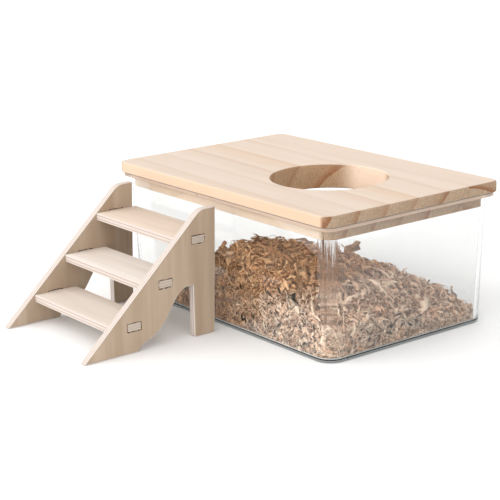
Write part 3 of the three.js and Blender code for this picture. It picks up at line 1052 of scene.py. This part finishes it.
# Rolls, curls, wisps, slivers and flakes: the share of each kind, then the ranges of its curl
# radius, the angle it rolls through and its half width.
KINDS = (
    (0.28, (0.9, 2.4), (2.6, 7.0), (0.40, 1.10)),
    (0.35, (1.8, 6.0), (0.9, 2.6), (0.8, 2.3)),
    (0.28, (1.0, 4.5), (1.4, 4.5), (0.14, 0.45)),
    (0.05, (14.0, 30.0), (0.30, 0.60), (0.28, 0.55)),
    (0.04, (5.0, 12.0), (0.7, 1.6), (1.8, 3.0)),
)
ROLL, SLIVER = 0, 3

# How shavings differ in size: one from the next, and patch from patch.
SHAVING_SIZE = 0.85
SIZE_SPREAD = 0.34
SIZE_LIMITS = (0.45, 1.7)
PATCHES = (70, 20, 0.22)
# How a ribbon uncurls and climbs along its width, and how uneven it is.
UNCURLING = (-0.35, 0.9)
CLIMB = 0.55
WOBBLE = 0.14
WANDER = 0.16
RAGGED = (0.15, 1.5)
TWIST = 0.12
# How far a ribbon leans out of the heap's surface and turns round its own width.
LEAN = 0.30
TURN = 0.5
# A ribbon's blunt tips, and the ridge along its outer side.
TIP = 0.04
TIP_POWER = 0.35
RIDGE = 0.14
RIDGE_BY_WIDTH = 0.26
RIDGE_MOST = 0.5
# The share of shavings that stay proud, how much the others do, and how deep each sits.
SPRINGY = 0.30
PRESSED = 0.60
NESTLE = 1.2
TINT, TINT_SPREAD, THIN_TINT = 0.5, 0.25, 0.3
# The gap between bedding and plastic, and what the floor's fillet adds to it.
GLASS_MARGIN = 0.35
FILLET_MARGIN = 0.5

# Shavings on top: how many, the area's half sides, and their height round the layer's top.
TOP_COUNT = 5400
TOP_HALF = (105, 67)
TOP_LIFT = -1.4
TOP_SPREAD = 1.5
# Shavings against the walls: where they can be, and how they bunch.
FACE = (105.6, 67.5)
FACE_SPAN = (103, 65)
FACE_HIGHEST = 58
FACE_BELOW_TOP = 1.6
FACE_DEPTH = (0.2, 2.6)
CLUMP_SIZE = 11
CLUMP_SHARE, CLUMP_SWING = 0.80, 0.70
# Each wall of the tank: its name, the way out through it and how many shavings lie against it.
WALLS = (
    ("front", (0, -1, 0), 2800),
    ("right", (1, 0, 0), 1500),
    ("back", (0, 1, 0), 500),
    ("left", (-1, 0, 0), 250),
)


def bedding_height(x, y):
    across = (x - MOUND_X) / np.where(x < MOUND_X, MOUND_LEFT, MOUND_RIGHT)
    reach = np.hypot(across, (y - MOUND_Y) / MOUND_BACK)
    return FLOOR + BEDDING_BASE + MOUND_RISE * np.exp(-0.5 * reach ** MOUND_POWER)


def lumps(x, y, seed, size, height=1.0):
    """A smooth bumpy field from a few crossed waves, about -height to height."""
    rng = np.random.default_rng(seed)
    total = np.zeros_like(x)
    for _ in range(9):
        turn = rng.uniform(0, math.pi)
        pitch = rng.uniform(0.7, 1.7) / size
        along = x * math.cos(turn) + y * math.sin(turn)
        total += np.sin(along * pitch * 2 * math.pi + rng.uniform(0, 6.3))
    return height * (total / 4.5)


def heap_top(x, y):
    """The height of the loose layer's lumpy top."""
    return bedding_height(x, y) + lumps(x, y, *TOP_LUMPS)


def keep_inside(points, margin):
    """Moves points into the tank's cavity, a margin away from its walls and floor."""
    points = points.copy()
    points[:, 2] = np.maximum(points[:, 2], FLOOR + margin)
    inset, radius = cavity_size(np.clip(points[:, 2], 0, RIM_TOP))
    by_fillet = points[:, 2] < FLOOR + FLOOR_FILLET + 0.2
    spare = margin + np.where(by_fillet, FILLET_MARGIN, 0.0)
    inset, radius = inset + spare, radius - spare
    core = np.column_stack([HALF_X - inset - radius, HALF_Y - inset - radius])
    flat = points[:, :2]
    beyond = np.maximum(np.abs(flat) - core, 0)
    length = np.maximum(np.linalg.norm(beyond, axis=1), 1e-9)
    shrink = np.minimum(1, radius / length)[:, None]
    points[:, :2] = np.sign(flat) * (np.minimum(np.abs(flat), core) + beyond * shrink)
    return points


def make_litter():
    """The body of the heap: a lumpy closed solid just under the loose shavings."""
    rings = []
    base = ring(-LITTER_HALF, LITTER_HALF, (LITTER_CORNER,) * 4, 0, (60, 38), 8)[:, :2]
    for scale in np.linspace(1, 0.02, LITTER_RINGS):
        x, y = base[:, 0] * scale, base[:, 1] * scale
        z = heap_top(x, y) - LITTER_DEPTH + lumps(x, y, *LITTER_LUMPS)
        rings.append(np.column_stack([x, y, np.maximum(z, LITTER_LOWEST)]))
    top = rings[0][:, 2]
    foot = np.column_stack([base * FOOT_SPREAD, np.full(len(base), FOOT_Z)])
    foot = keep_inside(foot, FOOT_MARGIN)
    ankle = np.column_stack([base, np.minimum(ANKLE_Z, (FOOT_Z + top) / 2)])
    points, faces = capped([foot, ankle] + rings)
    litter = mesh_object("bedding_core", points, faces, [litter_material("litter")])
    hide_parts("bedding")
    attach(litter, "tank")


def unit(vectors):
    return vectors / np.maximum(np.linalg.norm(vectors, axis=-1, keepdims=True), 1e-9)


def shaving_measures(rng, places):
    """Each shaving's kind, curl radius, angle rolled through, half width and relative size."""
    count = len(places)
    kind = rng.choice(len(KINDS), count, p=[row[0] for row in KINDS])
    ranges = [np.array([row[column] for row in KINDS])[kind] for column in (1, 2, 3)]
    curl, sweep, half = (
        low_high[:, 0] + (low_high[:, 1] - low_high[:, 0]) * rng.random(count)
        for low_high in ranges
    )
    patch = lumps(places[:, 0], places[:, 1] + places[:, 2], *PATCHES)
    size = SHAVING_SIZE * np.exp(SIZE_SPREAD * rng.normal(size=count) + patch)
    size = np.clip(size, *SIZE_LIMITS)
    return kind, curl * size, sweep, half * size, size


def shaving_axes(rng, normals, kind):
    """Each shaving's outward axis, the axis it curls towards and the axis of its width."""
    count = len(kind)
    normals = unit(normals)
    spin = unit(np.cross(normals, unit(rng.normal(size=(count, 3)))))
    width = unit(spin + normals * rng.normal(0, LEAN, (count, 1)))
    out = unit(normals - width * np.sum(normals * width, 1)[:, None])
    over = np.cross(width, out)
    any_turn, small_turn = rng.uniform(0, math.tau, count), rng.normal(0, TURN, count)
    turn = np.where(kind == ROLL, any_turn, small_turn)[:, None]
    turned = out * np.cos(turn) + over * np.sin(turn)
    return turned, over * np.cos(turn) - out * np.sin(turn), width


def settle(rng, points):
    """Lowers shavings on the heap: most are pressed down where they stand proud. None floats."""
    x, y = points[..., 0], points[..., 1]
    proud = points[..., 2] - bedding_height(x, y)
    kept = np.where(rng.random(len(points)) < SPRINGY, 1.0, PRESSED)[:, None, None]
    points[..., 2] -= np.maximum(proud, 0) * (1 - kept)
    gap = (points[..., 2] - heap_top(x, y)).min(axis=(1, 2))
    points[..., 2] -= np.maximum(gap + NESTLE, 0)[:, None, None]


def strip_faces(count):
    """The faces of closed strips whose points come section by section."""
    quads = []
    for step in range(SEGMENTS):
        for k in range(SIDES):
            a, b = step * SIDES + k, step * SIDES + (k + 1) % SIDES
            quads.append((a, b, b + SIDES, a + SIDES))
    last = SEGMENTS * SIDES
    caps = [(2, 1, 0), (last, last + 1, last + 2)]
    starts = (np.arange(count) * (SEGMENTS + 1) * SIDES)[:, None, None]
    quads = (np.array(quads)[None] + starts).reshape(-1, 4)
    return quads.tolist() + (np.array(caps)[None] + starts).reshape(-1, 3).tolist()


def shavings(name, places, normals, seed, material, on_heap):
    """Curled ribbons, one at each place, rolled up round their width. Each is a closed strip."""
    rng = np.random.default_rng(seed)
    count = len(places)
    kind, curl, sweep, half, size = shaving_measures(rng, places)
    uncurling = rng.uniform(*UNCURLING, count)
    climb = rng.normal(0, CLIMB, count) * size
    out, over, width = shaving_axes(rng, normals, kind)

    share = np.linspace(0, 1, SEGMENTS + 1)[None, :]
    angle = sweep[:, None] * (share - 0.5)
    uncurling = np.where(kind == SLIVER, 0, uncurling)
    radius = curl[:, None] * (1 + uncurling[:, None] * share)
    radius = radius + rng.normal(0, WOBBLE, (count, SEGMENTS + 1))
    ray = out[:, None] * np.cos(angle)[..., None] + over[:, None] * np.sin(angle)[..., None]
    sunk = out[:, None] * (curl * np.cos(sweep / 4))[:, None, None]
    spine = places[:, None] + ray * radius[..., None] - sunk
    spine += width[:, None] * (climb[:, None] * angle)[..., None]
    spine += np.cumsum(rng.normal(0, WANDER, spine.shape), axis=1)
    taper = np.sin(math.pi * (TIP + (1 - 2 * TIP) * share))
    taper = np.clip(taper, 0, 1) ** TIP_POWER
    left, right = half[:, None] * taper * rng.uniform(*RAGGED, (2, count, SEGMENTS + 1))
    twist = rng.normal(0, TWIST, (count, 1, 3)) * (share - 0.5)[..., None] * 4
    tilt = unit(width[:, None] + twist)
    ridge = np.minimum(RIDGE + RIDGE_BY_WIDTH * half, RIDGE_MOST)[:, None, None] * ray
    sides = (spine - tilt * left[..., None], spine + tilt * right[..., None], spine + ridge)
    points = np.stack(sides, 2)
    if on_heap:
        settle(rng, points)
    points = keep_inside(points.reshape(-1, 3), GLASS_MARGIN)

    thin = np.where(kind >= SLIVER, THIN_TINT, 0)
    tint = np.clip(rng.normal(TINT, TINT_SPREAD, count) + thin, 0, 1)
    tint = np.repeat(tint, (SEGMENTS + 1) * SIDES)
    obj = mesh_object(name, points, strip_faces(count), [material], values={"tint": tint})
    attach(obj, "tank")


def heap_places(rng, count):
    """Random places on the heap's upper surface, evenly by area, with the surface's normals."""
    tries = count * 3
    x = rng.uniform(-TOP_HALF[0], TOP_HALF[0], tries)
    y = rng.uniform(-TOP_HALF[1], TOP_HALF[1], tries)
    step = 0.5
    slope_x = (bedding_height(x + step, y) - bedding_height(x - step, y)) / (2 * step)
    slope_y = (bedding_height(x, y + step) - bedding_height(x, y - step)) / (2 * step)
    normals = np.column_stack([-slope_x, -slope_y, np.ones_like(x)])
    stretch = np.linalg.norm(normals, axis=1)
    chosen = rng.random(tries) < stretch / stretch.max()
    z = heap_top(x, y) + rng.normal(TOP_LIFT, TOP_SPREAD, tries)
    places = np.column_stack([x, y, z])[chosen][:count]
    return places, normals[chosen][:count]


def wall_places(rng, count, outward, seed):
    """Random places on the heap's side against one wall of the tank."""
    tries = count * 12
    along = rng.uniform(-1, 1, tries)
    if outward[0]:
        x, y = np.full(tries, outward[0] * FACE[0]), along * FACE_SPAN[1]
    else:
        x, y = along * FACE_SPAN[0], np.full(tries, outward[1] * FACE[1])
    z = rng.uniform(FLOOR, FACE_HIGHEST, tries)
    clump = lumps(x + y, z, seed, CLUMP_SIZE)
    chosen = z < bedding_height(x, y) - FACE_BELOW_TOP
    chosen &= rng.random(tries) < CLUMP_SHARE + CLUMP_SWING * clump
    depth = rng.uniform(*FACE_DEPTH, tries) + np.maximum(-clump, 0)
    normals = np.tile(np.array(outward, float), (tries, 1))
    places = np.column_stack([x, y, z]) - normals * depth[:, None]
    return places[chosen][:count], normals[chosen][:count]


def make_bedding():
    make_litter()
    material = shaving_material("shaving")
    rng = np.random.default_rng(40)
    places, normals = heap_places(rng, TOP_COUNT)
    for part in range(2):
        name = f"shavings_top_{part + 1}"
        shavings(name, places[part::2], normals[part::2], 41 + part, material, True)
    for wall, (label, outward, count) in enumerate(WALLS):
        places, normals = wall_places(rng, count, outward, 60 + wall)
        shavings(f"shavings_{label}", places, normals, 50 + wall, material, False)


# ---- Assembly ----

make_camera()
make_light()
make_floor()
make_tank([clear_plastic("clear_plastic")] + [painted_plastic_edge(*edge) for edge in TANK_EDGES])
make_lid(pine("pine_wide", **WIDE_STAVE), pine("pine_narrow", **NARROW_STAVE))
make_ladder()
make_bedding()
